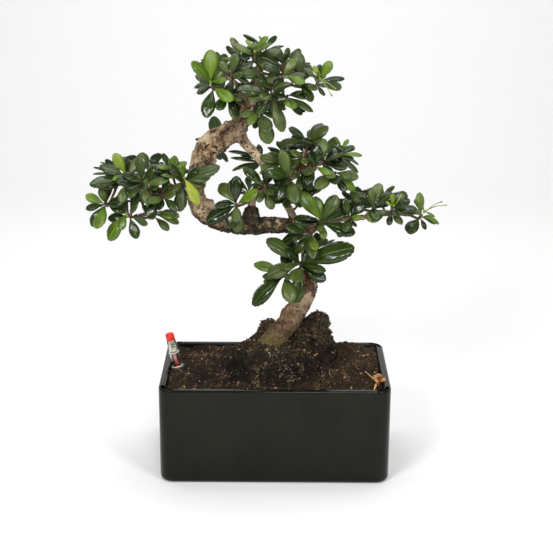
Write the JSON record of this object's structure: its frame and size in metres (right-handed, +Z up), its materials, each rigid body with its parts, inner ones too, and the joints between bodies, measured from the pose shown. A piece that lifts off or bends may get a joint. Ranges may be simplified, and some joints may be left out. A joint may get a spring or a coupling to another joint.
{
  "type": "bonsai tree",
  "caption": "Bonsai tree with a winding trunk, pads of glossy leaves and pale new shoots, rooted in a glossy black rectangular planter with a water gauge whose float rises.",
  "frame": {"origin": "middle of the planter's underside, on the surface that it stands on", "axes": "+Z up along the tree, +X along the planter's long side to the right as seen from its front, -Y towards the viewer of the front"},
  "size_m": [0.3079, 0.1263, 0.3809],
  "materials": {
    "black_glaze": "gloss",
    "potting_soil": "matte",
    "rooted_soil": "matte",
    "bark": "matte",
    "dark_leaf": "gloss",
    "young_leaf": "satin",
    "dark_sleeve": "satin",
    "clear_tube": "gloss",
    "red_cap": "gloss",
    "white_scale": "satin",
    "red_float": "satin",
    "dry_straw": "matte",
    "dry_leaf": "matte"
  },
  "bodies": {
    "tree": {"dry_leaf": "dry_leaf", "gauge_cap": "red_cap", "gauge_scale": "white_scale", "gauge_shaft": "dark_sleeve", "gauge_tube": "clear_tube", "planter": "black_glaze", "root_ball": "rooted_soil", "soil": "potting_soil", "stem_arm_back": "dark_leaf", "stem_arm_middle": "dark_leaf", "stem_arm_tip": "dark_leaf", "stem_centre_back": "dark_leaf", "stem_centre_front": "dark_leaf", "stem_centre_right": "dark_leaf", "stem_centre_up": "dark_leaf", "stem_crown_back": "dark_leaf", "stem_crown_back_left": "dark_leaf", "stem_crown_back_low": "dark_leaf", "stem_crown_front": "dark_leaf", "stem_crown_left": "dark_leaf", "stem_crown_right": "dark_leaf", "stem_crown_right_top": "dark_leaf", "stem_crown_top": "dark_leaf", "stem_crown_top_left": "dark_leaf", "stem_left_back": "dark_leaf", "stem_left_back_far": "dark_leaf", "stem_left_far": "dark_leaf", "stem_left_low": "dark_leaf", "stem_left_middle": "dark_leaf", "stem_left_near": "dark_leaf", "stem_left_tip": "dark_leaf", "stem_left_under": "dark_leaf", "stem_low_back": "dark_leaf", "stem_low_front": "dark_leaf", "stem_low_left": "dark_leaf", "stem_middle_back": "dark_leaf", "stem_middle_left": "dark_leaf", "stem_middle_right": "dark_leaf", "stem_pad_back": "dark_leaf", "stem_pad_back_right": "dark_leaf", "stem_pad_front": "dark_leaf", "stem_pad_inner": "dark_leaf", "stem_pad_left": "dark_leaf", "stem_pad_right": "dark_leaf", "stem_pad_top": "dark_leaf", "stem_trunk_back": "dark_leaf", "straw": "dry_straw", "trunk": "bark", "young_arm_middle": "young_leaf", "young_arm_tip": "young_leaf", "young_crown_left": "young_leaf", "young_crown_right": "young_leaf", "young_crown_top": "young_leaf", "young_left_far": "young_leaf", "young_left_low": "young_leaf", "young_left_near": "young_leaf", "young_pad_right": "young_leaf"},
    "float": {"gauge_float": "red_float"}
  },
  "joints": [
    {"name": "float_rise", "type": "slide", "parent": "tree", "child": "float", "axis": [-0.213, 0, 0.977], "range_m": [0, 0.009]}
  ]
}
